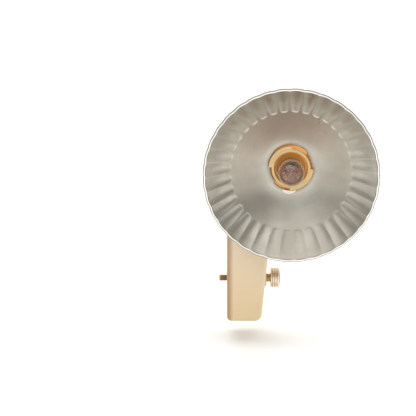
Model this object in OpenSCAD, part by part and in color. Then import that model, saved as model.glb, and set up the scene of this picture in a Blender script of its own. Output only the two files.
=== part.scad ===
// Flash bulb gun: a moulded case that a thumb screw holds to the side of a box camera,
// with a fluted twist-off reflector, a capless flash bulb and a battery-capacitor circuit.
// Millimetres. The origin is where the thumb screw's axis crosses the case's camera face.
// +X points away from the camera, the reflector faces -Y and +Z is up.

/* [Case] */
// Height of the lamp's axis above the thumb screw
lamp_z = 77.8; // [76:0.2:79]
// Distance of the lamp's axis from the camera face
lamp_x = 41; // [40.5:0.5:42.5]
// Radius of the case's round head
head_r = 30; // [29:0.5:31]
// Radius of the shoulder that joins the head to the camera face
shoulder_r = 40; // [38:1:44]
// Width of the leg at the thumb screw
leg_w = 24.7; // [24.3:0.1:25.2]
// How much the leg widens for each millimetre of height
leg_taper = 0.105; // [0.09:0.005:0.12]
// Distance from the thumb screw down to the end of the leg
leg_drop = 25.1; // [24:0.1:26]
// Radius of the hollow between the leg and the head
neck_r = 20; // [18:1:22]
// Radius of the leg's lower corner on the camera side
heel_r = 3; // [2.9:0.1:4]
// Radius of the leg's lower corner on the free side
toe_r = 4.8; // [4:0.1:6]
// Thickness of the moulded walls
wall = 2.2; // [2:0.1:2.4]
// Rounding of the case's outer edges
edge_r = 2.6; // [2:0.1:2.7]
// Half of the case's depth, from the thumb screw to the front face
case_half = 18; // [18:0.1:18.4]
// Depth of the back cover
cover_d = 6; // [5.8:0.1:6]

/* [Reflector] */
// Radius of the reflector's rim
rim_r = 57; // [54:0.5:60]
// Distance of the rim in front of the thumb screw's axis
rim_f = 45; // [43:0.5:48]
// Number of flutes
flutes = 36; // [36:12:48]
// Depth of a flute at the rim
flute_depth = 0.8; // [0.5:0.1:1.2]
// Radius at which the flutes begin
flute_start_r = 37.7; // [36:0.1:40]
// Thickness of the sheet, with its polished and lacquered faces
sheet = 0.6; // [0.5:0.1:0.7]
// Twist that frees the reflector from the collar's lugs, in degrees
twist = 43; // [41:1:44]

/* [Bulb and socket] */
// Radius of the collar's outer wall
collar_r = 12.5; // [12.3:0.1:12.7]
// Radius of the collar's mouth
mouth_r = 10.9; // [10.5:0.1:11.2]
// Radius of the two bayonet lugs
lug_r = 14.4; // [14.2:0.1:14.4]
// Radius of the bulb's glass
bulb_r = 8.5; // [8:0.1:8.7]

/* [Thumb screw] */
// Diameter of the knob
knob_d = 13; // [12:0.5:15]
// Diameter of the shank
shank_d = 5.3; // [5:0.1:5.6]
// Diameter of the threaded tip
tip_d = 4.2; // [3.8:0.1:4.4]
// Length of the tip that stands out when it is screwed in
tip_l = 5; // [4:0.5:6]
// Height of the pin contact above the thumb screw
pin_z = 13; // [12.5:0.1:13.2]

/* [Circuit] */
// Width of the battery
battery_w = 16; // [14:0.5:16]
// Depth of the battery
battery_d = 26; // [24:0.5:26]
// Height of the battery
battery_h = 51; // [48:0.5:51]
// Diameter of the capacitor
capacitor_d = 14; // [12:0.5:14]
// Length of the capacitor with its seal
capacitor_l = 24; // [20:0.5:24]

/* [Hidden] */
$fn = 64;

cream = [0.90, 0.81, 0.67];
ivory = [0.96, 0.93, 0.86];
aluminium = [0.72, 0.72, 0.69];
brass = [0.76, 0.62, 0.34];
nickel = [0.72, 0.68, 0.58];
phenolic = [0.45, 0.27, 0.12];
spring_steel = [0.55, 0.56, 0.57];

// Distances in front of the thumb screw's axis are called f, and those behind it are negative.
front_f = case_half;
back_f = -case_half;
seam_f = back_f + cover_d;
seam_gap = 0.1;
run = 0.05;          // radial clearance of a running fit

// Outline of the case, seen from the front, as tangent arcs: [centre, radius, start, end, side].
// Side is 1 for an outward arc and -1 for a hollow one, so that the outline can be inset.
edge_k = sqrt(1 + leg_taper * leg_taper);
edge_a = atan(leg_taper);
shoulder_c = [shoulder_r, lamp_z - sqrt(pow(shoulder_r - head_r, 2) - pow(lamp_x - shoulder_r, 2))];
toe_z = toe_r - leg_drop;
toe_c = [leg_w + leg_taper * toe_z - toe_r * edge_k, toe_z];
neck_off = leg_w + neck_r * edge_k - lamp_x;
neck_b = 2 * (leg_taper * neck_off - lamp_z);
neck_e = neck_off * neck_off + lamp_z * lamp_z - pow(head_r + neck_r, 2);
neck_z = (-neck_b - sqrt(neck_b * neck_b - 4 * edge_k * edge_k * neck_e)) / (2 * edge_k * edge_k);
neck_c = [leg_w + neck_r * edge_k + leg_taper * neck_z, neck_z];
neck_a = atan2(lamp_z - neck_c[1], lamp_x - neck_c[0]);
crown_a = atan2(lamp_z - shoulder_c[1], lamp_x - shoulder_c[0]);
OUTLINE = [
    [[heel_r, heel_r - leg_drop], heel_r, 180, 270, 1],
    [toe_c, toe_r, 270, 360 - edge_a, 1],
    [neck_c, neck_r, 180 - edge_a, neck_a, -1],
    [[lamp_x, lamp_z], head_r, neck_a - 180, crown_a, 1],
    [shoulder_c, shoulder_r, crown_a, 180, 1]
];
arc_step = 7.5;      // degrees between two points of an arc

function arc_points(a, inset) =
    let (n = max(3, ceil(abs(a[3] - a[2]) / arc_step)), r = max(0.05, a[1] - a[4] * inset))
    [for (i = [0:n]) let (t = a[2] + (a[3] - a[2]) * i / n) a[0] + r * [cos(t), sin(t)]];
function outline(inset) = [for (a = OUTLINE) each arc_points(a, inset)];
// Rings of a rounded edge that ends at f, facing +f or -f: [inset, f]
function rounding(f, side) =
    [for (t = [0:22.5:90]) [edge_r * (1 - cos(t)), f - side * edge_r * (1 - sin(t))]];
function reversed(list) = [for (i = [len(list) - 1:-1:0]) list[i]];

// Puts children that are drawn in X and Z, and rise along f, into place
module upright() rotate([90, 0, 0]) children();
module on_lamp() translate([lamp_x, 0, lamp_z]) upright() children();
module on_screw() rotate([0, 90, 0]) children();
module tube(r, bore, l) difference() {
    cylinder(r = r, h = l);
    translate([0, 0, -1]) cylinder(r = bore, h = l + 2);
}
// A pie slice from angle a to angle b that reaches beyond radius r
module slice(a, b, r, h) linear_extrude(h)
    polygon([[0, 0], for (i = [0:6]) 2 * r * [cos(a + (b - a) * i / 6), sin(a + (b - a) * i / 6)]]);

// A closed solid through rings of points that all have the same count. Each end is a fan of
// triangles about a hub, which has to see the whole of its ring.
module loft(rings, hubs) {
    n = len(rings[0]);
    last = len(rings) - 1;
    first_hub = n * len(rings);
    polyhedron(concat([for (ring = rings) each ring], hubs), [
        for (i = [0:n - 1]) let (j = (i + 1) % n) each [
            [first_hub, i, j],
            [first_hub + 1, last * n + j, last * n + i],
            for (k = [0:last - 1]) each [[k * n + i, (k + 1) * n + i, (k + 1) * n + j],
                                         [k * n + i, (k + 1) * n + j, k * n + j]]]
    ]);
}
// The outline as a slab: each ring is [inset, f]
slab_hub = [leg_w - 5, lamp_z - 18];
module slab(rings) loft(
    [for (ring = rings) [for (p = outline(ring[0])) [p[0], p[1], ring[1]]]],
    [for (ring = [rings[0], rings[len(rings) - 1]]) [slab_hub[0], slab_hub[1], ring[1]]]);
module prism(inset, f0, f1) translate([0, 0, f0]) linear_extrude(f1 - f0) polygon(outline(inset));

// A band of thickness t along a line of points, as a flat shape
function unit(v) = v / norm(v);
function heading(p, i) = unit(p[min(i + 1, len(p) - 1)] - p[max(i - 1, 0)]);
function beside(p, i, d) = p[i] + d * [-heading(p, i)[1], heading(p, i)[0]];
module strip(p, t) polygon([
    for (i = [0:len(p) - 1]) beside(p, i, t / 2),
    for (i = [len(p) - 1:-1:0]) beside(p, i, -t / 2)
]);

// An eight-sided wire along a smooth curve through a route's points
wire_d = 1.4;
wire_sides = 8;
wire_steps = 4;
side_hint = unit([0.31, 0.87, 0.38]);
function curve_point(p, i, t) =
    let (n = len(p) - 1, a = p[max(i - 1, 0)], b = p[i], c = p[i + 1], d = p[min(i + 2, n)])
    0.5 * (2 * b + (c - a) * t + (2 * a - 5 * b + 4 * c - d) * t * t
           + (3 * b - a - 3 * c + d) * t * t * t);
function curve(p) = concat(
    [for (i = [0:len(p) - 2]) for (k = [0:wire_steps - 1]) curve_point(p, i, k / wire_steps)],
    [p[len(p) - 1]]);
module wire(route, d = wire_d) {
    line = curve(route);
    loft([for (i = [0:len(line) - 1])
        let (w = heading(line, i), u = unit(cross(side_hint, w)), v = cross(w, u))
        [for (k = [0:wire_sides - 1]) let (t = 360 * k / wire_sides)
            line[i] + d / 2 * (cos(t) * u + sin(t) * v)]], [line[0], line[len(line) - 1]]);
}

// ---- Case ----
cover_post = [lamp_x + 14.1, lamp_z + 16.9];   // X and Z of the cover screw
cover_post_r = 3.6;
insert_r = 2.4;
insert_l = 10;
boss_r = 5.25;
boss_x = 25.7;
hub_hole_r = 12.3;
bush_r = 3.6;
pin_sleeve_r = 2.4;
shelf_z = pin_z + 3.8;
shelf_t = 1.2;
battery_x = 4;
battery_z = shelf_z + shelf_t + 2.5;
battery_back = -12;          // f of the battery's back
shelf_back = seam_f + 2.3;   // f of the shelf's back, clear of the cover's lip
rib_x = battery_x + battery_w + 0.4;

module case_shell() color(cream) difference() {
    union() {
        difference() {
            upright() slab(concat([[0, seam_f]], rounding(front_f, 1)));
            upright() prism(wall, seam_f - 1, front_f - wall - 0.2);
        }
        // post for the cover screw
        translate([cover_post[0], 0, cover_post[1]]) upright()
            translate([0, 0, seam_f + 1]) cylinder(r = cover_post_r, h = front_f - seam_f - 2.5);
        // shelf under the battery and rib beside it
        translate([wall - 0.5, -(front_f - wall + 0.3), shelf_z])
            cube([rib_x - wall + 0.5, front_f - wall + 0.3 - shelf_back, shelf_t]);
        translate([rib_x, -(front_f - wall + 0.3), shelf_z])
            cube([1.4, 16.5, battery_h + 2]);
        // boss for the thumb screw
        on_screw() translate([0, 0, leg_w - wall - 1.5])
            cylinder(r = boss_r, h = boss_x - leg_w + wall + 1.5);
        // boss behind the camera face for the bush
        on_screw() translate([0, 0, 0.6]) cylinder(r = bush_r + 1.4, h = 4.4);
    }
    on_lamp() translate([0, 0, front_f - wall - 2]) cylinder(r = hub_hole_r, h = wall + 4);
    on_screw() translate([0, 0, 15]) cylinder(d = shank_d + 2 * run, h = 15);
    on_screw() translate([0, 0, -1]) cylinder(r = bush_r, h = 7);
    translate([-1, 0, pin_z]) on_screw() cylinder(r = pin_sleeve_r, h = 6);
    translate([cover_post[0], 0, cover_post[1]]) upright()
        translate([0, 0, seam_f]) cylinder(r = insert_r, h = insert_l + 1);
}

module screw_bush() color(brass) on_screw() tube(bush_r, tip_d / 2 + 0.3, 5);

module pin_socket() color(brass) translate([0, 0, pin_z]) on_screw() difference() {
    cylinder(r = pin_sleeve_r, h = 9);
    translate([0, 0, -1]) cylinder(r = 1.6, h = 8.5);
}

module cover_insert() color(brass) translate([cover_post[0], 0, cover_post[1]]) upright()
    translate([0, 0, seam_f + 1]) tube(insert_r, 1.5, insert_l);

// ---- Lamp collar and socket ----
collar_f = 23.9;             // front of the collar
lug_f = 23.3;                // front of the lugs
lug_t = 2.1;
lug_span = 90;
lug_starts = [87, 267];      // degrees anticlockwise from +X, seen from the front
hub_front = 20.9;            // front of the reflector's flat hub
flange_f = 19.8;
flange_r = 16.6;
funnel_f = 18.5;             // depth of the step in the collar's bore
throat_r = 9.2;
tail_f = 11;                 // back of the collar's tube
flute_turn = 1.5;            // angle of the first ridge between two flutes
stop_mid = flute_turn + 263.75;   // where the twist stop sits
stop_half = 15.6;
stop_r = [14.9, 16.5];
stop_head = [12.1, 5.2];     // distance and radius of the stop's round head
stop_head_f = [21.1, 21.55];
stop_play = 0.8;             // degrees of play at each end of the stop's travel

module lamp_collar() color(cream) on_lamp() difference() {
    union() {
        rotate_extrude(convexity = 4) polygon([
            [throat_r, tail_f], [hub_hole_r - 0.1, tail_f], [hub_hole_r - 0.1, front_f],
            [flange_r, front_f], [flange_r, flange_f], [collar_r, flange_f],
            [collar_r, collar_f - 0.4], [collar_r - 0.4, collar_f], [mouth_r, collar_f],
            [mouth_r - 0.7, funnel_f], [throat_r, funnel_f]
        ]);
        for (a = lug_starts) intersection() {
            translate([0, 0, lug_f - lug_t]) tube(lug_r, collar_r - 0.5, lug_t);
            translate([0, 0, lug_f - lug_t - 1]) slice(a, a + lug_span, lug_r, lug_t + 2);
        }
    }
    // the arc in which the reflector's stop travels
    intersection() {
        translate([0, 0, front_f - 1]) tube(flange_r + 1, stop_r[0] - 0.3, 4);
        translate([0, 0, front_f - 2])
            slice(stop_mid - stop_half - stop_play, stop_mid + stop_half + twist + stop_play, lug_r, 6);
    }
}

module collar_nut() color(brass) on_lamp()
    translate([0, 0, front_f - wall - 0.2 - 3]) difference() {
        cylinder(r = 15.6, h = 3);
        translate([0, 0, -1]) cylinder(r = hub_hole_r - 0.1, h = 5);
        for (a = [0:30:330]) rotate(a + 15) translate([14.6, -0.8, -1]) cube([3, 1.6, 5]);
    }

wave_r = [17.5, 20.2];
module reflector_spring() color(spring_steel) on_lamp() translate([0, 0, front_f]) union() {
    tube(wave_r[1], wave_r[0], 0.4);
    for (a = [30, 150, 270]) intersection() {
        translate([0, 0, 0.2]) tube(wave_r[1] - 0.3, wave_r[0] + 0.3, hub_front - sheet - front_f - 0.3);
        slice(a - 9, a + 9, wave_r[1], 4);
    }
}

block_f = [2, 14.5];
pocket = [7.6, 9.8, 10];     // width, height and depth of the socket's pocket
base = [5, 9, 11];           // thickness, width and length of the bulb's wedge base
clip_t = 0.35;
clip_w = 5;
tag_slot = [0.7, 5.6];
module socket_block() color(phenolic) on_lamp() difference() {
    union() {
        translate([0, 0, block_f[0]]) cylinder(r = 12.2, h = tail_f - block_f[0]);
        translate([0, 0, tail_f - 1]) cylinder(r = throat_r - run, h = block_f[1] - tail_f + 1);
    }
    translate([-pocket[0] / 2, -pocket[1] / 2, block_f[1] - pocket[2]])
        cube([pocket[0], pocket[1], pocket[2] + 1]);
    translate([0, 0, block_f[0] - 1]) cylinder(r = rod_r + run, h = 8);
    for (s = [-1, 1]) translate([s * clip_root - tag_slot[0] / 2, -tag_slot[1] / 2, block_f[0] - 1])
        cube([tag_slot[0], tag_slot[1], 6]);
}

clip_root = pocket[0] / 2 - 0.5;
module socket_clip(side) color(brass) on_lamp() rotate([90, 0, 0])
    translate([0, 0, -clip_w / 2]) linear_extrude(clip_w) strip([
        [side * clip_root, -1.5], [side * clip_root, 5.2], [side * (base[0] / 2 + 0.8), 7.5],
        [side * (base[0] / 2 + 0.45), 10.5], [side * (base[0] / 2 + 0.8), 13], [side * clip_root, 14.2]
    ], clip_t);
module socket_clip_left() socket_clip(-1);
module socket_clip_right() socket_clip(1);

// ---- Battery and circuit ----
terminal_h = 0.8;
battery_mid = [battery_x + battery_w / 2, -battery_back - battery_d / 2];
module battery() color([0.55, 0.12, 0.10]) translate([battery_mid[0], battery_mid[1], battery_z])
    linear_extrude(battery_h) union() {
        square([battery_w, battery_d - 3], center = true);
        square([battery_w - 3, battery_d], center = true);
        for (x = [-1, 1], y = [-1, 1])
            translate([x * (battery_w / 2 - 1.5), y * (battery_d / 2 - 1.5)]) circle(r = 1.5);
    }
module battery_terminals() color(nickel)
    for (z = [battery_z - terminal_h, battery_z + battery_h])
        translate([battery_mid[0], battery_mid[1], z]) cylinder(r = 3.2, h = terminal_h);
battery_top = battery_z + battery_h + terminal_h;
module battery_spring() color(brass) translate([0, battery_mid[1] + 3, 0]) upright()
    linear_extrude(6) strip([
        [battery_x + 1.2, battery_top + 0.6], [battery_x + 5, battery_top + 0.25],
        [battery_x + 11, battery_top + 0.25], [battery_x + 14.5, battery_top + 1.6],
        [battery_x + 15.5, battery_top + 4], [battery_x + 12, battery_top + 5.2]
    ], 0.4);
module battery_contact() color(brass) translate([battery_mid[0] - 4, battery_mid[1] - 3,
        shelf_z + shelf_t]) cube([8, 6, battery_z - terminal_h - shelf_z - shelf_t]);

capacitor_c = [12, -13.2];   // X and Z of the capacitor's axis
capacitor_f = -10;
seal_l = 1.2;
module capacitor() color([0.66, 0.68, 0.70]) translate([capacitor_c[0], 0, capacitor_c[1]]) upright()
    translate([0, 0, capacitor_f]) cylinder(d = capacitor_d, h = capacitor_l - seal_l);
module capacitor_seal() color([0.15, 0.13, 0.12])
    translate([capacitor_c[0], 0, capacitor_c[1]]) upright()
        translate([0, 0, capacitor_f - seal_l]) cylinder(d = capacitor_d - 1, h = seal_l);

resistor_c = [24.6, -4, 56];
module resistor() color([0.62, 0.45, 0.28]) translate(resistor_c) union() {
    cylinder(r = 2, h = 9);
    translate([0, 0, 0.6]) cylinder(r = 2.3, h = 2);
    translate([0, 0, 6.4]) cylinder(r = 2.3, h = 2);
}

// Each route runs from one solder point to the next.
capacitor_back = -capacitor_f + seal_l;
tag_x = clip_root + 1;
module wire_charge() color([0.75, 0.15, 0.12]) wire([
    [battery_x + 16.1, battery_mid[1], battery_top + 3.4], [22.5, -2, 74.2],
    [24.6, -3.6, 70.5], [24.6, -4, 67.6], [24.6, -4, resistor_c[2] + 9]
]);
module wire_lamp() color([0.10, 0.10, 0.10]) wire([
    [24.6, -4, resistor_c[2]], [24.4, -3.5, 54.2], [22, 4, 51.5], [20.9, 10.2, 46],
    [20.8, 10.8, 28], [20.6, 10.8, 8], [18.6, 11.9, -5], [14.5, capacitor_back + 0.62, -12]
], 1.2);
module wire_pin() color([0.85, 0.75, 0.20]) wire([
    [lamp_x - tag_x, 0.6, lamp_z], [lamp_x - 8, 5, lamp_z - 5], [31, 7, 62], [23.4, 6, 51],
    [22.4, 5.8, 36], [21.8, 5.6, 18], [16.8, 2.8, 12.4], [9.7, 0, pin_z]
], 1.2);
module wire_screw() color([0.20, 0.35, 0.20]) wire([
    [lamp_x + tag_x, 0.6, lamp_z], [lamp_x + 8, 5, lamp_z - 6], [44, 8.6, 60], [30, 9.2, 54],
    [23.2, 8.4, 46], [22.4, 8.2, 28], [21.4, 8.2, 8], [14, 7.2, 5], [5.8, 2.5, 2.5]
], 1.2);

// ---- Cover ----
cover_f = seam_f - seam_gap;
lip_gap = 0.15;
lip_t = 1.2;
button_r = 5.5;
screw_head_r = 3.4;
plate_box = [4, -2, 17, 54];  // X, Z, width and height of the exposure plate
plate_t = 0.5;
module cover() color(cream) difference() {
    union() {
        difference() {
            union() {
                upright() slab(concat(reversed(rounding(back_f, -1)), [[0, cover_f]]));
                upright() prism(wall + lip_gap, cover_f - 2, seam_f + 2);
            }
            upright() prism(wall + lip_gap + lip_t, back_f + wall, seam_f + 3);
        }
        translate([cover_post[0], 0, cover_post[1]]) upright()
            translate([0, 0, back_f + wall - 0.5]) cylinder(r = 5, h = cover_d - wall + 0.3);
        on_lamp() translate([0, 0, back_f + wall - 0.5]) cylinder(r = button_r + 2, h = 2);
    }
    on_lamp() translate([0, 0, back_f - 1]) cylinder(r = button_r + run, h = 6);
    translate([cover_post[0], 0, cover_post[1]]) upright() translate([0, 0, back_f - 1]) {
        cylinder(r = 1.7, h = cover_d + 3);
        cylinder(r = screw_head_r + 0.2, h = 3.2);
    }
    translate([plate_box[0], -back_f - plate_t, plate_box[1]])
        cube([plate_box[2], plate_t + 1, plate_box[3]]);
}

module exposure_plate() color([0.80, 0.79, 0.76])
    translate([plate_box[0], -back_f - plate_t, plate_box[1]])
        cube([plate_box[2], plate_t, plate_box[3]]);

module battery_pad() color([0.35, 0.35, 0.36])
    translate([battery_x + 2, -battery_back + 0.15, battery_z + 5])
        cube([battery_w - 4, -back_f - wall + battery_back - 0.2, battery_h - 10]);

module cover_screw() color(nickel) translate([cover_post[0], 0, cover_post[1]]) upright()
    translate([0, 0, back_f]) union() {
        translate([0, 0, 2]) cylinder(r = 1.5 - run, h = 13);
        difference() {
            translate([0, 0, 0.3]) cylinder(r = screw_head_r, h = 1.85);
            translate([-screw_head_r - 1, -0.6, -1]) cube([2 * screw_head_r + 2, 1.2, 2.2]);
        }
    }

// ---- Reflector ----
hub_r = 17.2;
tab_r = 13.3;                // inner radius of the hub's two tabs
notch_r = 14.8;              // inner radius between the tabs
window_r = 16.3;             // where the twist stop is riveted through
tab_half = 42.5;
tab_mid = flute_turn - 2.5;
window_half = 11.25;
bowl_power = 1.51;
lip_base_r = rim_r - 1.1;
bowl_depth = rim_f - hub_front;
column_step = 360 / (flutes * 4);
edge_split = 0.15;

function turn_between(a, b) = abs((a - b + 540) % 360 - 180);
function hole_r(a) =
    turn_between(a, stop_mid) < window_half ? window_r :
    min(turn_between(a, tab_mid), turn_between(a, tab_mid + 180)) < tab_half ? tab_r : notch_r;
hole_edges = [for (side = [-1, 1]) each [
    tab_mid + 180 + side * tab_half, tab_mid + (side < 0 ? 360 : 0) + side * tab_half,
    stop_mid + side * window_half]];
// Every column's angle, with two columns where the hole's radius steps
columns = [for (i = [0:flutes * 4 - 1]) let (a = flute_turn + i * column_step)
    each len([for (e = hole_edges) if (abs(e - a) < edge_split) e]) == 0
        ? [a] : [a - edge_split, a + edge_split]];

function along(r) = max(0, (r - hub_r) / (lip_base_r - hub_r));
function bowl_f(r) = hub_front + bowl_depth * pow(along(r), bowl_power);
function bowl_slope(r) = bowl_power * bowl_depth / (lip_base_r - hub_r)
    * pow(max(along(r), 1e-6), bowl_power - 1);
function rise(x) = let (t = min(1, max(0, x))) t * t * (3 - 2 * t);
// Depth of the scallop at radius r and angle a, which halves towards the rim
flute_start_l = 2.4;
flute_fade = [46, 0.5];
function scallop(r, a) = flute_depth * abs(sin((a - flute_turn) * flutes / 2))
    * rise((r - flute_start_r) / flute_start_l)
    * (1 - flute_fade[1] * rise((r - flute_fade[0]) / (lip_base_r - flute_fade[0])));
// A point of the sheet at radius r and angle a, t behind its front face
function sheet_point(r, a, t) =
    let (m = r <= hub_r ? 0 : bowl_slope(r), k = sqrt(1 + m * m), d = t + scallop(r, a))
    [r + d * m / k, bowl_f(r) - d / k];
// The rolled lip, as offsets in radius and f from the front face's outer edge
lip = [[0.45, 0], [0.8, -0.35], [0.7, -0.95], [0.1, -1.15]];
flute_rows = [for (k = [0:3]) flute_start_r + k / 3 * flute_start_l];
front_rows = concat([hub_r, 21, 26, 32], flute_rows, [46, 51, lip_base_r]);
back_rows = concat([54.6, 51, 46], reversed(flute_rows), [30, 21, hub_r]);
function around(q, a) = [q[0] * cos(a), q[0] * sin(a), q[1]];
reflector_rows = concat(
    [[for (a = columns) around([hole_r(a), hub_front], a)]],
    [for (r = front_rows) [for (a = columns) around(sheet_point(r, a, 0), a)]],
    [for (o = lip) [for (a = columns) around(sheet_point(lip_base_r, a, 0) + o, a)]],
    [for (r = back_rows) [for (a = columns) around(sheet_point(r, a, sheet), a)]],
    [[for (a = columns) around([hole_r(a), hub_front - sheet], a)]]);
module reflector() color(aluminium) on_lamp() {
    n = len(columns);
    m = len(reflector_rows);
    polyhedron([for (row = reflector_rows) each row], [
        for (k = [0:m - 1]) for (i = [0:n - 1]) let (j = (i + 1) % n, l = (k + 1) % m)
            each [[k * n + i, l * n + i, l * n + j], [k * n + i, l * n + j, k * n + j]]
    ]);
}

// A ring from r[0] to r[1] and f0 to f1, between two angles
module arc_block(r, f0, f1, half) intersection() {
    translate([0, 0, f0]) tube(r[1], r[0], f1 - f0);
    translate([0, 0, f0 - 1]) slice(stop_mid - half, stop_mid + half, r[1], f1 - f0 + 2);
}
module reflector_stop() color(ivory) on_lamp() union() {
    difference() {
        rotate(stop_mid) translate([stop_head[0], 0, stop_head_f[0]])
            cylinder(r = stop_head[1], h = stop_head_f[1] - stop_head_f[0]);
        translate([0, 0, stop_head_f[0] - 1]) cylinder(r = stop_r[0], h = 3);
    }
    arc_block([stop_r[0], window_r - 0.1], hub_front - sheet - 0.1, stop_head_f[0] + 0.1, window_half - 0.5);
    arc_block(stop_r, front_f + 0.3, hub_front - sheet, stop_half);
}

// ---- Ejector ----
base_f = 8;                  // end of the bulb's base in the socket
rod_r = 1.5;
button_f = [-22.6, -13.1];
button_flange_r = 7;
button_dome = 0.9;
module ejector_button() color(cream) on_lamp() rotate_extrude() polygon([
    [0, button_f[0]],
    for (t = [15:15:90]) [(button_r - button_dome) + button_dome * sin(t),
                          button_f[0] + button_dome * (1 - cos(t))],
    [button_r, button_f[1] - 1], [button_flange_r, button_f[1] - 1], [button_flange_r, button_f[1]],
    [0, button_f[1]]
]);
module ejector_rod() color(nickel) on_lamp()
    translate([0, 0, button_f[1]]) cylinder(r = rod_r, h = base_f - run - button_f[1]);

coil_r = 2.2;
coil_turns = 6;
coil_steps = 14;
coil_wire = 0.5;
coil_f = [-12.7, 1.6];
module ejector_spring() color(spring_steel) on_lamp() {
    n = coil_turns * coil_steps;
    loft([for (i = [0:n]) [for (k = [0:wire_sides - 1]) let (q = -360 * k / wire_sides)
            coil_point(i, coil_wire / 2 * cos(q), coil_wire / 2 * sin(q))]],
        [coil_point(0, 0, 0), coil_point(n, 0, 0)]);
}
// A point of the coil at step i, moved out by dr and forward by df
function coil_point(i, dr, df) = let (t = 360 * i / coil_steps)
    [(coil_r + dr) * cos(t), (coil_r + dr) * sin(t),
     coil_f[0] + (coil_f[1] - coil_f[0]) * i / (coil_turns * coil_steps) + df];

// ---- Bulb ----
neck_f = 19;
belly_f = 28;
dome_f = 37;
glass_t = 0.7;
bulb_neck_r = 4.9;
lead_x = 1.9;
lead_r = 0.25;
pad_t = 0.2;
// Half section of the envelope, from its neck to its tip, inset by t
function envelope(t) = concat(
    [for (i = [0:6]) let (k = i / 6)
        [bulb_neck_r - t + (bulb_r - bulb_neck_r) * rise(k), neck_f + 2 * t + (belly_f - neck_f - t) * k]],
    [for (q = [0:10:80]) [(bulb_r - t) * cos(q), dome_f + (bulb_r - t) * sin(q)]],
    [[0, dome_f + bulb_r - t]]);
module bulb_glass() color([0.80, 0.72, 0.62, 0.5]) on_lamp() difference() {
    union() {
        rotate_extrude(convexity = 6) polygon(concat(
            [[0, neck_f]], envelope(0), reversed(envelope(glass_t)), [[0, neck_f + 2 * glass_t]]));
        translate([-base[0] / 2, -base[1] / 2, base_f]) cube([base[0], base[1], base[2] + 0.6]);
    }
    for (s = [-1, 1]) translate([s * lead_x, 0, base_f - 1]) cylinder(r = lead_r + 0.02, h = 14);
}
module bulb_leads() color(nickel) on_lamp() for (s = [-1, 1]) union() {
    translate([s * lead_x, 0, base_f - pad_t]) cylinder(r = lead_r, h = 22);
    rotate([90, 0, 0]) translate([0, 0, -0.6]) linear_extrude(1.2) polygon([
        [s * (lead_x - 0.2), base_f - pad_t], [s * (base[0] / 2 + pad_t), base_f - pad_t],
        [s * (base[0] / 2 + pad_t), base_f + 6], [s * base[0] / 2, base_f + 6],
        [s * base[0] / 2, base_f], [s * (lead_x - 0.2), base_f]]);
}
bead_f = 25;
module bulb_bead() color([0.25, 0.35, 0.55]) on_lamp() difference() {
    translate([-lead_x - 0.9, 0, bead_f]) rotate([0, 90, 0]) cylinder(r = 1, h = 2 * lead_x + 1.8);
    for (s = [-1, 1]) translate([s * lead_x, 0, bead_f - 3]) cylinder(r = lead_r + 0.02, h = 6);
}
foil_strips = 7;
module bulb_foil() color([0.85, 0.84, 0.82]) on_lamp() union() {
    for (i = [0:foil_strips - 1]) translate([0, 0, 36.4]) rotate([34 * i, 25 + 16 * i, 51 * i])
        translate([-5.6, -1, -0.08]) cube([11.2, 2, 0.16]);
    for (s = [-1, 1]) translate([s * lead_x - 0.5, -0.08, base_f + 22]) cube([1, 0.16, 3]);
}

// ---- Thumb screw ----
knob_x = 28.3;
knob_l = 5.6;
dome_l = 0.9;
groove = [0.6, 0.4];         // width and depth of the knob's grooves
step_x = 10;                 // where the shank steps down to the bush
clip_x = 15.85;
clip_r = [2.1, 4.4];
module screw_rod() color(nickel) on_screw() rotate_extrude() polygon([
    [0, -tip_l], [tip_d / 2 - 0.4, -tip_l], [tip_d / 2, -tip_l + 0.4], [tip_d / 2, 0],
    [tip_d / 2 + 0.3 - run, 0], [tip_d / 2 + 0.3 - run, step_x], [shank_d / 2, step_x],
    [shank_d / 2, clip_x - 0.1], [clip_r[0] - run, clip_x - 0.1], [clip_r[0] - run, clip_x + 1.1],
    [shank_d / 2, clip_x + 1.1], [shank_d / 2, knob_x + 3], [0, knob_x + 3]
]);
module screw_knob() color(brass) on_screw() difference() {
    rotate_extrude(convexity = 6) polygon([
        [0, knob_x], [knob_d / 2 - 0.4, knob_x], [knob_d / 2, knob_x + 0.4],
        for (i = [1:3]) let (x = knob_x + i * knob_l / 4) each [
            [knob_d / 2, x - groove[0] / 2], [knob_d / 2 - groove[1], x - groove[0] / 4],
            [knob_d / 2 - groove[1], x + groove[0] / 4], [knob_d / 2, x + groove[0] / 2]],
        [knob_d / 2, knob_x + knob_l - 0.4], [knob_d / 2 - 0.5, knob_x + knob_l],
        for (t = [30:15:90]) [(knob_d / 2 - 0.5) * cos(t) / cos(30), knob_x + knob_l
                              + dome_l * (sin(t) - 0.5) * 2],
    ]);
    translate([0, 0, knob_x - 1]) cylinder(r = shank_d / 2, h = 4);
}
module screw_retainer() color(spring_steel) on_screw() translate([0, 0, clip_x])
    tube(clip_r[1], clip_r[0], 1);

case_shell();
lamp_collar();
collar_nut();
reflector_spring();
socket_block();
socket_clip_left();
socket_clip_right();
screw_bush();
pin_socket();
battery();
battery_terminals();
battery_spring();
battery_contact();
capacitor();
capacitor_seal();
resistor();
wire_charge();
wire_lamp();
wire_pin();
wire_screw();
cover_insert();
cover();
exposure_plate();
battery_pad();
cover_screw();
reflector();
reflector_stop();
ejector_button();
ejector_rod();
ejector_spring();
bulb_glass();
bulb_foil();
bulb_leads();
bulb_bead();
screw_retainer();
screw_rod();
screw_knob();
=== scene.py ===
"""Looks of the flash bulb gun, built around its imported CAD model."""

import math
import random
from contextlib import contextmanager

import bmesh
import bpy
import numpy as np
from mathutils import Matrix, Vector


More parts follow.
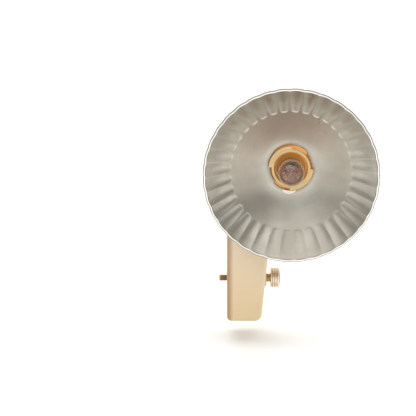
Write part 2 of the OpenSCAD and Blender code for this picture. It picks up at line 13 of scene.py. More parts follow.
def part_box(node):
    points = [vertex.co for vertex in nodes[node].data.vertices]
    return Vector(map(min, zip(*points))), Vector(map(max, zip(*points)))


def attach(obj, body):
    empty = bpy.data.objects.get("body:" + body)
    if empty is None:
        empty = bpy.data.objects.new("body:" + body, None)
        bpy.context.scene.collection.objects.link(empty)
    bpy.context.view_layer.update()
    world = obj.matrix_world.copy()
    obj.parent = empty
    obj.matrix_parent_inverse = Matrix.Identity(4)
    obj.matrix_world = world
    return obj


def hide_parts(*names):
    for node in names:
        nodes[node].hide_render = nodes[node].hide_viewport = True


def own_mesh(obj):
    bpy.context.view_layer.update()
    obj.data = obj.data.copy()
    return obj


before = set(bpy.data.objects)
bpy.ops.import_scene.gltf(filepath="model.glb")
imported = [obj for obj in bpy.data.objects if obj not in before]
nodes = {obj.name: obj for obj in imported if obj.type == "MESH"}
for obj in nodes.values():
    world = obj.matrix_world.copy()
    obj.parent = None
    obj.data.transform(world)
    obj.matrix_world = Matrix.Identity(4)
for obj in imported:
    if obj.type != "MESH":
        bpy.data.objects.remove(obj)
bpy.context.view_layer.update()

# ---- Places, from the frame. Shapes below are drawn in millimetres. ----
MM = 0.001


def box_mm(node):
    """Lowest and highest corner of a CAD node, in millimetres."""
    low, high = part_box(node)
    return np.array(low) / MM, np.array(high) / MM


nut_low, nut_high = box_mm("collar_nut")
LAMP_X = (nut_low[0] + nut_high[0]) / 2
LAMP_Z = (nut_low[2] + nut_high[2]) / 2
reflector_low, reflector_high = box_mm("reflector")
RIM_F = -reflector_low[1]
RIM_R = (reflector_high[0] - reflector_low[0]) / 2
shell_low, shell_high = box_mm("case_shell")
FRONT_F = -shell_low[1]
SEAM_F = -shell_high[1]
BACK_F = -box_mm("cover")[1][1]


def facing(x=0, z=0):
    """A place for a shape seen from the front: its z is f, the distance in front of the thumb screw."""
    return Matrix.Scale(MM, 4) @ Matrix.Translation((x, 0, z)) @ Matrix.Rotation(math.pi / 2, 4, "X")


COVER_POST = (LAMP_X + 14.1, LAMP_Z + 16.9)
LAMP = facing(LAMP_X, LAMP_Z)
CASE = facing()
POST = facing(*COVER_POST)
SCREW = Matrix.Scale(MM, 4) @ Matrix.Rotation(math.pi / 2, 4, "Y")
WORLD = Matrix.Scale(MM, 4)


# ---- Mesh helpers ----
def smoothstep(x):
    x = np.clip(x, 0, 1)
    return x * x * (3 - 2 * x)


def finish_object(mesh, name, material, smooth=35):
    """Puts a mesh in the scene, with smooth shading below the given angle."""
    piece = bpy.data.objects.new(name, mesh)
    bpy.context.scene.collection.objects.link(piece)
    mesh.materials.clear()
    mesh.materials.append(material)
    shade(piece, smooth)
    return piece


def shade(piece, smooth):
    mesh = piece.data
    mesh.polygons.foreach_set("use_smooth", [True] * len(mesh.polygons))
    mesh.set_sharp_from_angle(angle=math.radians(smooth))


def mesh_of(points, faces, place):
    """A mesh whose points are moved to a place."""
    matrix = np.array(place)
    points = np.asarray(points, float) @ matrix[:3, :3].T + matrix[:3, 3]
    mesh = bpy.data.meshes.new("mesh")
    mesh.from_pydata(points.tolist(), [], faces)
    mesh.update()
    return mesh


def grid(rows, place, closed=False, caps=False):
    """A mesh through rings of points, each with the same count. Closed joins the last ring to the first."""
    rows = np.asarray(rows, float)
    m, n = rows.shape[:2]
    k, i = np.meshgrid(np.arange(m if closed else m - 1), np.arange(n), indexing="ij")
    row, next_row = k * n, (k + 1) % m * n
    next_i = (i + 1) % n
    faces = np.stack([row + i, row + next_i, next_row + next_i, next_row + i], -1).reshape(-1, 4).tolist()
    if caps:
        faces.append(list(range(n - 1, -1, -1)))
        faces.append(list(range((m - 1) * n, m * n)))
    return fix_normals(mesh_of(rows.reshape(-1, 3), faces, place))


@contextmanager
def editing(mesh):
    """Opens a mesh for bmesh and writes it back at the end."""
    bm = bmesh.new()
    bm.from_mesh(mesh)
    yield bm
    bm.to_mesh(mesh)
    bm.free()


def fix_normals(mesh):
    with editing(mesh) as bm:
        bmesh.ops.remove_doubles(bm, verts=bm.verts, dist=1e-7)
        bmesh.ops.dissolve_degenerate(bm, edges=bm.edges, dist=1e-8)
        bmesh.ops.recalc_face_normals(bm, faces=bm.faces)
    return mesh


def lathe(profile, place, segments, closed=False):
    """Turns [radius, height] points about the local z axis. An open profile starts and ends on the axis."""
    turn = np.linspace(0, 2 * np.pi, segments, endpoint=False)
    rows = [[(r * math.cos(t), r * math.sin(t), z) for t in turn] for r, z in profile]
    return grid(rows, place, closed)


def rounded(points, radius, steps=5):
    """A line of [x, y] points whose inner corners become arcs. Radius is one value or one for each point."""
    points = [np.array(p, float) for p in points]
    radius = radius if isinstance(radius, list) else [radius] * len(points)
    out = [points[0]]
    for i in range(1, len(points) - 1):
        r = radius[i]
        a, b, c = points[i - 1], points[i], points[i + 1]
        u, v = a - b, c - b
        lu, lv = np.linalg.norm(u), np.linalg.norm(v)
        u, v = u / lu, v / lv
        half = math.acos(np.clip(u @ v, -1, 1)) / 2
        if r <= 0 or half > math.pi / 2 - 0.02:
            out.append(b)
            continue
        reach = min(r / math.tan(half), 0.49 * lu, 0.49 * lv)
        start, end = b + u * reach, b + v * reach
        for k in range(steps + 1):
            t = k / steps
            out.append((1 - t) ** 2 * start + 2 * t * (1 - t) * b + t * t * end)
    out.append(points[-1])
    return out


def joined(meshes, name):
    """One mesh that holds several."""
    bm = bmesh.new()
    for mesh in meshes:
        bm.from_mesh(mesh)
    whole = bpy.data.meshes.new(name)
    bm.to_mesh(whole)
    bm.free()
    return whole


def boolean(piece, tools, operation):
    """Applies one boolean of all tools, which don't touch each other, to a piece."""
    tool = bpy.data.objects.new("tools", joined(tools, "tools"))
    bpy.context.scene.collection.objects.link(tool)
    modifier = piece.modifiers.new("boolean", "BOOLEAN")
    modifier.operation = operation
    modifier.object = tool
    modifier.solver = "EXACT"
    apply_modifiers(piece)
    bpy.data.objects.remove(tool)


def cut(piece, *tools):
    boolean(piece, tools, "DIFFERENCE")


def fuse(piece, *tools):
    boolean(piece, tools, "UNION")


def apply_modifiers(piece):
    graph = bpy.context.evaluated_depsgraph_get()
    mesh = bpy.data.meshes.new_from_object(piece.evaluated_get(graph))
    piece.modifiers.clear()
    piece.data = mesh


def bevel(piece, width):
    modifier = piece.modifiers.new("bevel", "BEVEL")
    modifier.width = width * MM
    modifier.segments = 2
    modifier.limit_method = "ANGLE"
    modifier.angle_limit = math.radians(40)
    modifier.use_clamp_overlap = True
    modifier.miter_outer = "MITER_ARC"
    apply_modifiers(piece)


def finish_edges(piece, smooth):
    """Smooth shading that keeps flat faces flat."""
    shade(piece, smooth)
    modifier = piece.modifiers.new("weighted", "WEIGHTED_NORMAL")
    modifier.keep_sharp = True
    modifier.weight = 80


def block(low, high, place=WORLD):
    """A box between two corners, as a mesh."""
    bm = bmesh.new()
    bmesh.ops.create_cube(bm, size=1)
    low, high = Vector(low), Vector(high)
    for v in bm.verts:
        v.co = place @ Vector([low[i] + (v.co[i] + 0.5) * (high[i] - low[i]) for i in range(3)])
    bmesh.ops.recalc_face_normals(bm, faces=bm.faces)
    mesh = bpy.data.meshes.new("block")
    bm.to_mesh(mesh)
    bm.free()
    return mesh


def drum(r, z0, z1, place, segments, chamfer=0.0):
    """A cylinder with chamfered ends."""
    profile = [(0, z0), (r - chamfer, z0), (r, z0 + chamfer), (r, z1 - chamfer), (r - chamfer, z1), (0, z1)]
    return lathe(profile, place, segments)


def sweep(points, radius, place, sides):
    """A round tube along a line of points, with closed ends."""
    points = [np.array(p, float) for p in points]
    rows = []
    u = None
    for i, p in enumerate(points):
        d = points[min(i + 1, len(points) - 1)] - points[max(i - 1, 0)]
        d = d / np.linalg.norm(d)
        if u is None:
            u = np.cross(d, [0.31, 0.87, 0.38])
        u = u - d * (u @ d)
        u = u / np.linalg.norm(u)
        v = np.cross(d, u)
        turn = [2 * math.pi * k / sides for k in range(sides)]
        rows.append([p + radius * (math.cos(t) * u + math.sin(t) * v) for t in turn])
    return grid(rows, place, caps=True)


# ---- Materials ----
class Nodes:
    """A short way to build a node tree."""

    def __init__(self, tree):
        self.tree = tree

    def add(self, kind, **inputs):
        """A node with some properties and inputs set; an input value may be another node's output."""
        node = self.tree.nodes.new(kind)
        for key, value in inputs.items():
            if hasattr(node, key) and key not in node.inputs:
                setattr(node, key, value)
                continue
            socket = node.inputs[int(key[1:])] if key[0] == "i" and key[1:].isdigit() else node.inputs[key]
            self.set(socket, value)
        return node

    def set(self, socket, value):
        if isinstance(value, bpy.types.NodeSocket):
            self.tree.links.new(value, socket)
        else:
            socket.default_value = value

    def coords(self):
        return self.add("ShaderNodeTexCoord").outputs["Object"]

    def axis(self, name):
        """The object's x, y or z, in metres."""
        return self.add("ShaderNodeSeparateXYZ", Vector=self.coords()).outputs[name]

    def noise(self, scale, detail=4, stretch=None, distortion=0.0):
        vector = self.coords()
        if stretch:
            vector = self.add("ShaderNodeMapping", Vector=vector, Scale=stretch).outputs[0]
        return self.add("ShaderNodeTexNoise", Vector=vector, Scale=scale, Detail=detail,
                        Roughness=0.6, Distortion=distortion).outputs["Fac"]

    def ramp(self, value, stops):
        node = self.add("ShaderNodeValToRGB", Fac=value)
        ramp = node.color_ramp
        while len(ramp.elements) < len(stops):
            ramp.elements.new(0.5)
        for element, (position, color) in zip(ramp.elements, stops):
            element.position = position
            element.color = color
        return node.outputs["Color"]

    def span(self, value, low, high, start=0.0, end=1.0, curve="LINEAR"):
        """Maps a value from start..end to low..high."""
        node = self.add("ShaderNodeMapRange", interpolation_type=curve, Value=value)
        for key, number in zip(("From Min", "From Max", "To Min", "To Max"), (start, end, low, high)):
            node.inputs[key].default_value = number
        return node.outputs[0]

    def math(self, operation, a, b):
        node = self.tree.nodes.new("ShaderNodeMath")
        node.operation = operation
        self.set(node.inputs[0], a)
        self.set(node.inputs[1], b)
        return node.outputs[0]

    def mix(self, factor, a, b):
        node = self.tree.nodes.new("ShaderNodeMix")
        node.data_type = "RGBA"
        self.set(node.inputs["Factor"], factor)
        self.set(node.inputs[6], a)
        self.set(node.inputs[7], b)
        return node.outputs[2]

    def bump(self, height, strength, distance, normal=None):
        inputs = {"Height": height, "Strength": strength, "Distance": distance}
        if normal is not None:
            inputs["Normal"] = normal
        return self.add("ShaderNodeBump", **inputs).outputs[0]

    def crevice(self, distance):
        """1 in the open, towards 0 in corners and hollows, within a distance in metres."""
        return self.add("ShaderNodeAmbientOcclusion", Distance=distance, samples=8).outputs["AO"]


class Surface(Nodes):
    """A material's node tree, with its shader."""

    def __init__(self, name):
        self.material = bpy.data.materials.new(name)
        self.material.use_nodes = True
        super().__init__(self.material.node_tree)
        self.shader = self.tree.nodes["Principled BSDF"]

    def put(self, **inputs):
        """Sets the shader's inputs, named with _ for a space."""
        for key, value in inputs.items():
            self.set(self.shader.inputs[key.replace("_", " ")], value)


def rgb(r, g, b):
    """Linear colour from an 8-bit display colour."""
    def one(c):
        c /= 255
        return c / 12.92 if c <= 0.04045 else ((c + 0.055) / 1.055) ** 2.4
    return (one(r), one(g), one(b), 1.0)


def plastic(name, light, dark, speck_shade_and_glow, roughness=0.34, glow=0.12, painted_low_shade=None, edge=None, painted_glow=0.0):
    """Old moulded plastic: mottled, slightly yellowed, with fine scuffs and specks, and warmer and darker in
    its hollows by painted shade.
    """
    n = Surface(name)
    mottle = n.mix(n.span(n.noise(32, 5), 0, 1, 0.36, 0.66), light, dark)
    # painted shade: darker and yellower towards the bottom
    if painted_low_shade:
        height = n.axis("Z")
        mottle = n.mix(n.span(height, 1, 0, -0.02, 0.05), mottle, painted_low_shade)
    specks = n.span(n.noise(900, 3), 0, 0.06, 0.64, 0.74)
    mottle = n.mix(specks, mottle, speck_shade_and_glow)
    # painted shade: hollows and corners take the darker, warmer colour
    color = n.mix(n.span(n.crevice(0.006), 1, 0, 0.15, 0.85), mottle, speck_shade_and_glow)
    # painted shade: amber along the camera side, where the camera's dark side shades the case
    if edge:
        across = n.axis("X")
        color = n.mix(n.span(across, 0.7, 0, 0.0012, 0.0042), color, edge)
    scuffs = n.noise(150, 6, distortion=0.3)
    n.put(Base_Color=color,
          Roughness=n.span(scuffs, roughness - 0.06, roughness + 0.1, 0.35, 0.7),
          Normal=n.bump(n.noise(1500, 4), 0.05, 0.00003, n.bump(n.noise(45, 2), 0.08, 0.0004)))
    if painted_glow:
        # painted shade darkens thin gaps, and a painted glow (emission) in wider hollows,
        # most of all towards the upper right, stands for light that has come through the plastic
        gap = n.span(n.crevice(0.0012), 1, 0, 0.25, 0.7)
        color = n.mix(gap, color, rgb(92, 58, 30))
        side = n.math("ADD", n.axis("X"), n.axis("Z"))
        lit = n.span(side, 0.25, 1, (LAMP_X + LAMP_Z - 14) * MM, (LAMP_X + LAMP_Z + 12) * MM)
        hollow = n.math("MULTIPLY", n.span(n.crevice(0.006), 1, 0, 0.2, 0.8), lit)
        hollow = n.math("MULTIPLY", hollow, n.math("SUBTRACT", 1.0, gap))
        n.put(Base_Color=color, Emission_Color=n.mix(hollow, (0, 0, 0, 1), speck_shade_and_glow), Emission_Strength=painted_glow)
    n.put(Subsurface_Weight=glow, Subsurface_Radius=(1.0, 0.5, 0.2), Subsurface_Scale=0.0012, IOR=1.49)
    return n.material


def metal(name, light, dark, roughness=(0.25, 0.42), grain=(1, 1, 1), grain_scale=500, bump=0.08, stain=None):
    """Plain metal with grain, tarnish and fingerprints."""
    n = Surface(name)
    tarnish = n.span(n.noise(70, 6), 0, 1, 0.38, 0.68)
    color = n.mix(tarnish, light, dark)
    if stain:
        color = n.mix(n.span(n.crevice(0.0015), 0.85, 0, 0.2, 0.9), color, stain)
    lines = n.noise(grain_scale, 4, stretch=grain)
    wear = n.math("ADD", n.math("MULTIPLY", lines, 0.5), n.math("MULTIPLY", n.noise(120, 4), 0.5))
    n.put(Base_Color=color, Roughness=n.span(wear, roughness[0], roughness[1], 0.35, 0.65),
          Normal=n.bump(lines, bump, 0.00005))
    n.put(Metallic=1.0)
    return n.material


def spun_aluminium(name, light, dark, roughness):
    """Satin sheet with fine circular spinning lines about the lamp's axis."""
    n = Surface(name)
    centre = (LAMP_X * MM, 0, LAMP_Z * MM)
    offset = n.add("ShaderNodeVectorMath", operation="SUBTRACT", i0=n.coords(), i1=centre).outputs[0]
    parts = n.add("ShaderNodeSeparateXYZ", Vector=offset)
    flat = n.add("ShaderNodeCombineXYZ", X=parts.outputs["X"], Z=parts.outputs["Z"]).outputs[0]
    radius = n.add("ShaderNodeVectorMath", operation="LENGTH", i0=flat).outputs["Value"]
    ring = n.add("ShaderNodeCombineXYZ", X=radius).outputs[0]
    lines = n.add("ShaderNodeTexNoise", Vector=ring, Scale=2600, Detail=6, Roughness=0.75).outputs["Fac"]
    cloud = n.noise(45, 6)
    fine = n.noise(700, 5)
    color = n.mix(n.span(cloud, 0, 1, 0.34, 0.7), light, dark)
    color = n.mix(n.span(fine, 0, 0.2, 0.55, 0.75), color, dark)
    # painted shade and painted reflection of the collar, brown in the hub around it
    painted_collar_shade = n.math("MULTIPLY", n.span(n.crevice(0.004), 1, 0, 0.5, 0.92), n.span(radius, 1, 0, 0.0155, 0.0195))
    color = n.mix(n.math("MULTIPLY", painted_collar_shade, 0.6), color, rgb(140, 112, 72))
    # the rolled lip: a painted highlight on the band at the mouth, painted shade on the bead behind it
    front = n.math("MULTIPLY", parts.outputs["Y"], -1)
    painted_rim_highlight = n.span(front, 0, 1, (RIM_F - 0.5) * MM, (RIM_F - 0.3) * MM)
    bead = n.span(radius, 0, 1, (RIM_R - 0.9) * MM, (RIM_R - 0.7) * MM)
    color = n.mix(bead, color, rgb(150, 144, 130))
    color = n.mix(painted_rim_highlight, color, rgb(252, 252, 250))
    blend = n.math("ADD", n.math("MULTIPLY", lines, 0.35), n.math("MULTIPLY", cloud, 0.65))
    n.put(Base_Color=color,
          Roughness=n.span(blend, roughness - 0.07, roughness + 0.09, 0.35, 0.65),
          Normal=n.bump(lines, 0.04, 0.00004, n.bump(cloud, 0.05, 0.0002)))
    n.put(Metallic=1.0)
    return n.material


def simple(name, light, dark, roughness, scale, bump, coat=0.0):
    """A dull or coated surface with small spots."""
    n = Surface(name)
    spots = n.noise(scale, 5)
    n.put(Base_Color=n.mix(n.span(spots, 0, 1, 0.35, 0.68), light, dark),
          Roughness=n.span(n.noise(scale * 2, 3), roughness - 0.06, roughness + 0.08, 0.35, 0.65),
          Normal=n.bump(spots, bump, 0.00008))
    n.put(Coat_Weight=coat)
    return n.material


def place(piece, body, slot, *replaced):
    """Attaches a piece to the body it rides and hides the CAD nodes it stands for; the slot, naming its
    finish, is not used.
    """
    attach(piece, body)
    if replaced:
        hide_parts(*replaced)


# the cream's low shade and edge colours are painted shade, towards the bottom and along the camera side
CREAM = plastic("cream_plastic", rgb(231, 213, 197), rgb(226, 206, 185), rgb(206, 166, 112),
                painted_low_shade=rgb(212, 190, 149), edge=rgb(144, 98, 40))
COLLAR = plastic("collar_plastic", rgb(226, 202, 150), rgb(216, 188, 132), rgb(232, 152, 44), 0.38, 0.3,
                 painted_glow=0.4)
IVORY = plastic("ivory_plastic", rgb(246, 238, 226), rgb(238, 226, 206), rgb(190, 160, 120), 0.3)
BUTTON = plastic("button_plastic", rgb(228, 206, 176), rgb(220, 196, 156), rgb(150, 110, 60), 0.3)
REFLECTOR = spun_aluminium("spun_aluminium", rgb(191, 188, 178), rgb(177, 172, 160), 0.32)
SHANK = metal("aged_shank", rgb(200, 178, 134), rgb(168, 144, 92), (0.28, 0.45), (1, 20, 20), 80, 0.1,
              rgb(84, 62, 36))
NICKEL = metal("nickel", rgb(206, 200, 188), rgb(176, 168, 152), (0.18, 0.34), stain=rgb(90, 80, 66))
BRASS = metal("brass", rgb(214, 178, 104), rgb(170, 128, 66), (0.24, 0.44), stain=rgb(96, 62, 30))
SPRING = metal("spring_steel", rgb(168, 170, 172), rgb(128, 128, 128), (0.22, 0.38), stain=rgb(70, 64, 58))
FOIL = metal("shredded_foil", rgb(218, 208, 200), rgb(158, 138, 124), (0.16, 0.5), grain_scale=2500, bump=0.3)
PHENOLIC = plastic("socket_plastic", rgb(220, 184, 122), rgb(202, 160, 98), rgb(206, 142, 66), 0.42, 0.2,
                   painted_glow=0.25)
RUBBER = simple("seal_rubber", rgb(46, 42, 40), rgb(28, 26, 25), 0.62, scale=600, bump=0.25)
FOAM = simple("foam_pad", rgb(96, 96, 98), rgb(52, 52, 54), 0.9, scale=1400, bump=0.8)
BEAD = simple("bead_glass", rgb(112, 108, 226), rgb(84, 80, 190), 0.12, scale=300, bump=0.02, coat=0.5)
INSULATION = {
    name: simple("wire_" + name, light, dark, 0.42, scale=700, bump=0.12)
    for name, light, dark in [
        ("red", rgb(176, 44, 36), rgb(140, 28, 24)), ("black", rgb(40, 40, 42), rgb(22, 22, 24)),
        ("yellow", rgb(222, 190, 60), rgb(196, 158, 38)), ("green", rgb(52, 96, 58), rgb(34, 70, 42))]
}


# ---- Reflector ----
FLUTES = 36
FLUTE_STEPS = 20  # points across a flute
FLUTE_DEPTH = 0.7
FLUTE_START_R = 37.7
FLUTE_START_L = 1.1
FLUTE_FADE_R = 46
FLUTE_FADE = 0.5
FLUTE_ARCH = 2.6
FLUTE_TURN = 1.5
SHEET = 0.6
HUB_R = 17.2
HUB_F = 20.9
NOTCH_R = 14.8
TAB_R = 13.3
TAB_HALF = 42.5
WINDOW_R = 16.3
WINDOW_HALF = 11.25
STOP_MID = FLUTE_TURN + 263.75
LIP_R = RIM_R - 1.42
BOWL_POWER = 1.51
# The rolled lip's rows: out from the bowl's edge, back from the rim, and share of the flutes' wave.
# A flat band around the mouth comes first, then the bead behind it.
LIP = [
    (-0.5, 0.5, 1.0), (-0.48, 0.3, 1.1), (-0.42, 0.16, 1.2), (-0.3, 0.08, 1.3), (-0.1, 0.02, 1.3),
    (0.14, 0.02, 1.3), (0.28, 0.12, 1.3), (0.34, 0.34, 1.2), (0.38, 0.62, 1.1), (0.5, 0.7, 1.0),
    (0.82, 0.66, 0.9), (0.98, 0.78, 0.9), (1.04, 0.98, 0.9), (0.94, 1.18, 0.9), (0.66, 1.26, 0.9),
    (0.26, 1.24, 0.9), (-0.1, 1.3, 0.9)]


def reflector_piece():
    a = FLUTE_TURN + np.arange(FLUTES * FLUTE_STEPS) * 360 / (FLUTES * FLUTE_STEPS)
    # 0 in the middle of a flute, 1 on the ridges beside it
    across = np.abs(((a - FLUTE_TURN) * FLUTES / 360) % 1 - 0.5) * 2
    arch = FLUTE_ARCH * (1 - np.sqrt(1 - (0.98 * across) ** 2))

    def along(r):
        return max(0.0, (r - HUB_R) / (LIP_R - HUB_R))

    def scallop(r):
        """Depth of the flutes at a radius: troughs with arched inner ends and narrow ridges."""
        step = smoothstep((r - FLUTE_START_R - 0.6 - arch) / FLUTE_START_L)
        grow = step * (0.5 + 0.5 * smoothstep((r - FLUTE_START_R - arch) / 9))
        width = 0.74 + 0.25 * smoothstep((r - FLUTE_START_R) / 9)
        trough = np.cos(np.minimum(1, across / width) * math.pi / 2)
        fade = FLUTE_FADE * smoothstep((r - FLUTE_FADE_R) / (LIP_R - FLUTE_FADE_R))
        return FLUTE_DEPTH * trough * grow * (1 - fade)

    def sheet_row(r, t):
        """A row of the sheet's front, or t behind it, square to the bowl's slope m."""
        m = BOWL_POWER * (RIM_F - HUB_F) / (LIP_R - HUB_R) * along(r) ** (BOWL_POWER - 1) if r > HUB_R else 0
        k = math.sqrt(1 + m * m)
        d = t + scallop(r)
        radius = r + d * m / k
        return ring(radius, HUB_F + (RIM_F - HUB_F) * along(r) ** BOWL_POWER - d / k)

    def ring(radius, f):
        angle = np.radians(a)
        return np.stack([radius * np.cos(angle), radius * np.sin(angle), f], -1)

    def sector(centre, half):
        """1 within half degrees of a turn, with ends a degree wide."""
        return smoothstep(half + 0.5 - np.abs((a - centre + 540) % 360 - 180))

    # the hub's hole has two tabs, two notches and the window for the twist stop
    tabs = sector(FLUTE_TURN - 2.5, TAB_HALF) + sector(FLUTE_TURN + 177.5, TAB_HALF)
    hole = NOTCH_R + (TAB_R - NOTCH_R) * tabs
    hole = hole + (WINDOW_R - hole) * sector(STOP_MID, WINDOW_HALF)
    edge = 0.14
    rows = [ring(hole, HUB_F - edge + 0 * a), ring(hole + edge * 0.3, HUB_F - edge * 0.3 + 0 * a),
            ring(hole + edge, HUB_F + 0 * a)]
    front = [HUB_R - 0.2, HUB_R + 0.5, 18.6, 20, 22, 24.5, 27, 30, 33, 36, FLUTE_START_R]
    front += [FLUTE_START_R + (FLUTE_START_L + FLUTE_ARCH) * k / 16 for k in range(1, 17)]
    front += [43.4, 45, 47, 49, 51, 53, 54.4, LIP_R - 0.5]
    rows += [sheet_row(r, 0) for r in front]
    rows += [ring(LIP_R + out + wave * scallop(LIP_R), RIM_F - back + 0 * a) for out, back, wave in LIP]
    back = [LIP_R - 1.0, 54, 52, 49, 46, 43.4]
    back += [FLUTE_START_R + (FLUTE_START_L + FLUTE_ARCH) * k / 10 for k in range(10, -1, -1)]
    back += [36, 32, 28, 24, 20, HUB_R]
    rows += [sheet_row(r, SHEET) for r in back]
    rows += [ring(hole + edge, HUB_F - SHEET + 0 * a), ring(hole, HUB_F - SHEET + edge + 0 * a)]
    piece = finish_object(grid(rows, LAMP, closed=True), "reflector_bowl", REFLECTOR, 50)
    place(piece, "reflector", "reflector_metal", "reflector")


# ---- Softened copies of machined and moulded CAD nodes ----
def softened(node, material, width):
    """A copy of a CAD node with its edges broken by a small bevel."""
    mesh = nodes[node].data.copy()
    with editing(mesh) as bm:
        bmesh.ops.remove_doubles(bm, verts=bm.verts, dist=2e-6)
        bmesh.ops.dissolve_limit(bm, angle_limit=math.radians(1), verts=bm.verts, edges=bm.edges)
    piece = finish_object(mesh, node + "_finished", material)
    bevel(piece, width)
    finish_edges(piece, 35)
    return piece


def round_wire(node, material):
    """A CAD wire with its eight sides rounded off."""
    mesh = nodes[node].data.copy()
    with editing(mesh) as bm:
        bmesh.ops.remove_doubles(bm, verts=bm.verts, dist=2e-6)
        bmesh.ops.join_triangles(bm, faces=bm.faces, angle_face_threshold=math.radians(50),
                                 angle_shape_threshold=math.radians(50))
    piece = finish_object(mesh, node + "_lead", material, 80)
    modifier = piece.modifiers.new("round", "SUBSURF")
    modifier.levels = modifier.render_levels = 1
    apply_modifiers(piece)
    shade(piece, 80)
    return piece


# ---- Case ----
HEAD_R = 30
SHOULDER_R = 40
LEG_W = 24.7
LEG_TAPER = 0.105
NECK_R = 20
HEEL_R = 3
TOE_R = 4.8
WALL = 2.2
EDGE_R = 2.6
LEG_DROP = -shell_low[2]
ARC_STEP = 3  # degrees between two points of an arc


def case_arcs():
    """The case's outline as tangent arcs: centre, radius, start, end and side, 1 outward or -1 hollow."""
    k = math.sqrt(1 + LEG_TAPER ** 2)
    edge = math.degrees(math.atan(LEG_TAPER))
    shoulder = (SHOULDER_R, LAMP_Z - math.sqrt((SHOULDER_R - HEAD_R) ** 2 - (LAMP_X - SHOULDER_R) ** 2))
    toe_z = TOE_R - LEG_DROP
    toe = (LEG_W + LEG_TAPER * toe_z - TOE_R * k, toe_z)
    off = LEG_W + NECK_R * k - LAMP_X
    b = 2 * (LEG_TAPER * off - LAMP_Z)
    e = off * off + LAMP_Z ** 2 - (HEAD_R + NECK_R) ** 2
    neck_z = (-b - math.sqrt(b * b - 4 * k * k * e)) / (2 * k * k)
    neck = (LEG_W + NECK_R * k + LEG_TAPER * neck_z, neck_z)
    neck_a = math.degrees(math.atan2(LAMP_Z - neck[1], LAMP_X - neck[0]))
    crown = math.degrees(math.atan2(LAMP_Z - shoulder[1], LAMP_X - shoulder[0]))
    return [((HEEL_R, HEEL_R - LEG_DROP), HEEL_R, 180, 270, 1), (toe, TOE_R, 270, 360 - edge, 1),
            (neck, NECK_R, 180 - edge, neck_a, -1), ((LAMP_X, LAMP_Z), HEAD_R, neck_a - 180, crown, 1),
            (shoulder, SHOULDER_R, crown, 180, 1)]


def outline(inset, f):
    """Points of the case's outline, set in by a distance."""
    points = []
    for centre, radius, start, end, side in case_arcs():
        n = max(6, math.ceil(abs(end - start) / ARC_STEP))
        r = max(0.05, radius - side * inset)
        for i in range(n + 1):
            t = math.radians(start + (end - start) * i / n)
            points.append((centre[0] + r * math.cos(t), centre[1] + r * math.sin(t), f))
    return points


def slab(rings):
    """A solid through the case's outline, each ring given as (inset, f)."""
    return grid([outline(*ring) for ring in rings], CASE, caps=True)


def on_post(r, f0, f1, chamfer=0.0):
    """A cylinder on the cover screw's axis."""
    return drum(r, f0, f1, POST, 48, chamfer)


def case_piece():
    turn = [math.radians(t) for t in range(0, 91, 9)]
    rings = [(0.3, SEAM_F), (0.09, SEAM_F + 0.09), (0, SEAM_F + 0.35)]
    rings += [(EDGE_R * (1 - math.cos(t)), FRONT_F - EDGE_R * (1 - math.sin(t))) for t in turn]
    piece = finish_object(slab(rings), "case_moulding", CREAM)
    floor_f = FRONT_F - WALL - 0.2
    cavity = [(WALL, SEAM_F - 1), (WALL, floor_f - 0.8), (WALL + 0.23, floor_f - 0.23), (WALL + 0.8, floor_f)]
    cut(piece, slab(cavity))
    # the cover's post, the battery's shelf and rib, and the thumb screw's outer and inner boss
    fuse(piece, on_post(3.6, SEAM_F + 1, FRONT_F - 1.5, 0.3))
    battery_high = box_mm("battery")[1]
    shelf_z = box_mm("battery_contact")[0][2]
    rib_x = battery_high[0] + 0.4
    rib_y = -(FRONT_F - WALL + 0.3)
    fuse(piece, block((WALL - 0.5, rib_y, shelf_z - 1.2), (rib_x, battery_high[1], shelf_z)))
    fuse(piece, block((rib_x, rib_y, shelf_z - 1.2), (rib_x + 1.4, rib_y + 16.5, battery_high[2] + 1)))
    boss = rounded([(0, 21.1), (7.4, 21.1), (7.4, 23.0), (5.9, 24.9), (5.25, 25.5), (5.25, 25.7), (0, 25.7)],
                   [0, 0.2, 0.8, 0.9, 0.15, 0])
    fuse(piece, lathe(boss, SCREW, 72))
    fuse(piece, drum(5, 0.6, 5, SCREW, 64, 0.3))
    bore = [(0, 14), (2.7, 14), (2.7, 25.4), (3.1, 25.8), (3.1, 27), (0, 27)]
    bush = [(0, -1), (4.4, -1), (4.4, -0.4), (3.6, 0.4), (3.6, 6), (0, 6)]
    pin_place = SCREW @ Matrix.Translation((-box_mm("pin_socket")[0][2] - 2.4, 0, 0))
    pin = [(0, -1), (3.2, -1), (3.2, -0.4), (2.4, 0.4), (2.4, 5), (0, 5)]
    cut(piece, lathe(bore, SCREW, 64), lathe(bush, SCREW, 64), lathe(pin, pin_place, 48),
        drum(12.3, FRONT_F - WALL - 2, FRONT_F + 2, LAMP, 128), on_post(2.4, SEAM_F - 0.5, SEAM_F + 11))
    finish_edges(piece, 32)
    place(piece, "case", "case_plastic", "case_shell")


